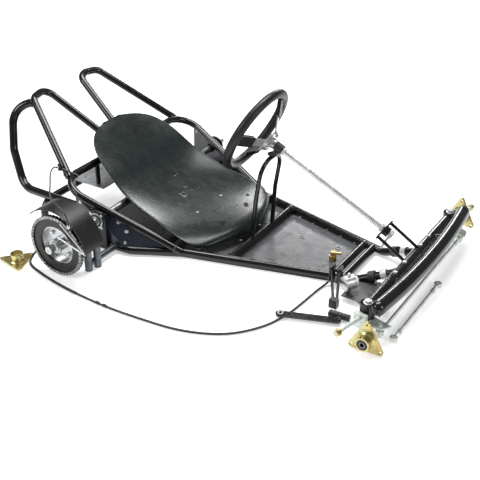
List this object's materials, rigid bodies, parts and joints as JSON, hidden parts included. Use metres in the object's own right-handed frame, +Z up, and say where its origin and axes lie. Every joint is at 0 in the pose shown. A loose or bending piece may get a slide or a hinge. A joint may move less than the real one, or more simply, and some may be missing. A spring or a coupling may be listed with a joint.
{
  "type": "kart chassis",
  "caption": "Bare kart chassis kit: welded tube frame with bucket seat, steering gear, front beam and bumper, rear chain drive, with the brake pedal, one hub and the drag link laid out loose.",
  "frame": {"origin": "on the ground under the floor tray, on the centreline of the kart, 600 mm behind the front beam", "axes": "+X points to the front of the kart, +Y to its left side, +Z up"},
  "size_m": [1.4654, 1.0367, 0.5039],
  "materials": {
    "black_tube": "gloss",
    "blue_sheet": "satin",
    "grey_sheet": "satin",
    "pale_sheet": "satin",
    "seat_shell": "satin",
    "zinc": "satin",
    "gold_zinc": "satin",
    "steel": "satin",
    "foam": "matte",
    "black_rubber": "matte",
    "aluminium": "satin",
    "white_plastic": "gloss",
    "brass_part": "satin"
  },
  "bodies": {
    "frame": {"rail_right": "black_tube", "rail_left": "black_tube", "front_cross_tube": "black_tube", "mid_cross_tube": "black_tube", "rear_cross_tube": "black_tube", "seat_surround_tube": "black_tube", "rear_hoop_right": "black_tube", "rear_hoop_left": "black_tube", "rear_guard_loop": "black_tube", "floor_tray": "grey_sheet", "side_panel_right": "blue_sheet", "side_panel_left": "blue_sheet", "engine_plate": "pale_sheet", "front_beam": "black_tube", "bumper": "black_tube", "bumper_stays": "black_tube", "foot_plate": "blue_sheet", "rail_clamps": "zinc", "kingpins": "zinc", "steering_hoop": "black_tube", "column_bush": "black_tube", "lower_bracket": "black_tube", "frame_bolts": "zinc", "seat": "seat_shell", "seat_supports": "black_tube", "axle_hangers": "black_tube", "axle_bearings": "steel", "drive_outrigger": "black_tube", "chain_guard": "black_tube", "brake_band": "black_tube", "pedal_bracket": "black_tube", "brake_cylinder": "aluminium", "cylinder_cap": "white_plastic", "cable_fitting": "brass_part", "cable_clip": "black_tube", "brake_cable": "black_rubber", "throttle_cable": "black_rubber"},
    "steering": {"wheel_rim": "foam", "wheel_spokes": "aluminium", "spoke_covers": "foam", "wheel_flange": "aluminium", "wheel_bolts": "zinc", "steering_shaft": "steel", "pitman_arm": "zinc"},
    "right_knuckle": {"knuckle_right": "zinc", "spindle_nuts_right": "gold_zinc"},
    "left_knuckle": {"knuckle_left": "zinc", "spindle_nuts_left": "gold_zinc"},
    "track_rod": {"tie_rod": "zinc"},
    "left_hub": {"front_hub_left": "gold_zinc", "hub_bearings_left": "steel"},
    "right_hub": {"front_hub_right": "gold_zinc", "hub_bearings_right": "steel"},
    "axle": {"rear_axle": "steel", "sprocket": "black_tube", "roller_chain": "steel", "brake_drum": "steel"},
    "loose_link": {"drag_link": "zinc"},
    "pedal": {"brake_pedal": "black_tube"},
    "spare_hub": {"rear_hub": "gold_zinc"}
  },
  "joints": [
    {"name": "steering_turn", "type": "hinge", "parent": "frame", "child": "steering", "pos_m": [0.057, 0, 0.369], "axis": [0.8988, 0, -0.4384], "range_deg": [-35, 35]},
    {"name": "right_kingpin", "type": "hinge", "parent": "frame", "child": "right_knuckle", "pos_m": [0.6, -0.305, 0.06], "axis": [0, 0, 1], "range_deg": [-16, 12]},
    {"name": "left_kingpin", "type": "hinge", "parent": "frame", "child": "left_knuckle", "pos_m": [0.6, 0.305, 0.06], "axis": [0, 0, 1], "range_deg": [-16, 12]},
    {"name": "track_rod_pivot", "type": "hinge", "parent": "right_knuckle", "child": "track_rod", "pos_m": [0.64402, -0.31436, 0.02], "axis": [0, 0, 1], "range_deg": [-12, 16]},
    {"name": "left_hub_spin", "type": "hinge", "parent": "left_knuckle", "child": "left_hub", "pos_m": [0.6, 0.305, 0.064], "axis": [0.2079, 0.9781, 0], "continuous": true},
    {"name": "axle_spin", "type": "hinge", "parent": "frame", "child": "axle", "pos_m": [-0.318, 0, 0.1], "axis": [0, 1, 0], "continuous": true},
    {"name": "right_hub_lift", "type": "slide", "parent": "frame", "child": "right_hub", "axis": [0, -1, 0], "range_m": [0, 0.1]},
    {"name": "loose_link_slide", "type": "slide", "parent": "frame", "child": "loose_link", "axis": [1, 0, 0], "range_m": [0, 0.1]},
    {"name": "pedal_swing", "type": "hinge", "parent": "frame", "child": "pedal", "pos_m": [0.364, -0.367, 0.011], "axis": [0, 0, 1], "range_deg": [-40, 0]},
    {"name": "spare_hub_lift", "type": "slide", "parent": "frame", "child": "spare_hub", "axis": [0, 0, 1], "range_m": [0, 0.1]}
  ],
  "couplings": [
    {"joint": "left_kingpin", "follows": "right_kingpin", "ratio": 1},
    {"joint": "track_rod_pivot", "follows": "right_kingpin", "ratio": -1}
  ]
}
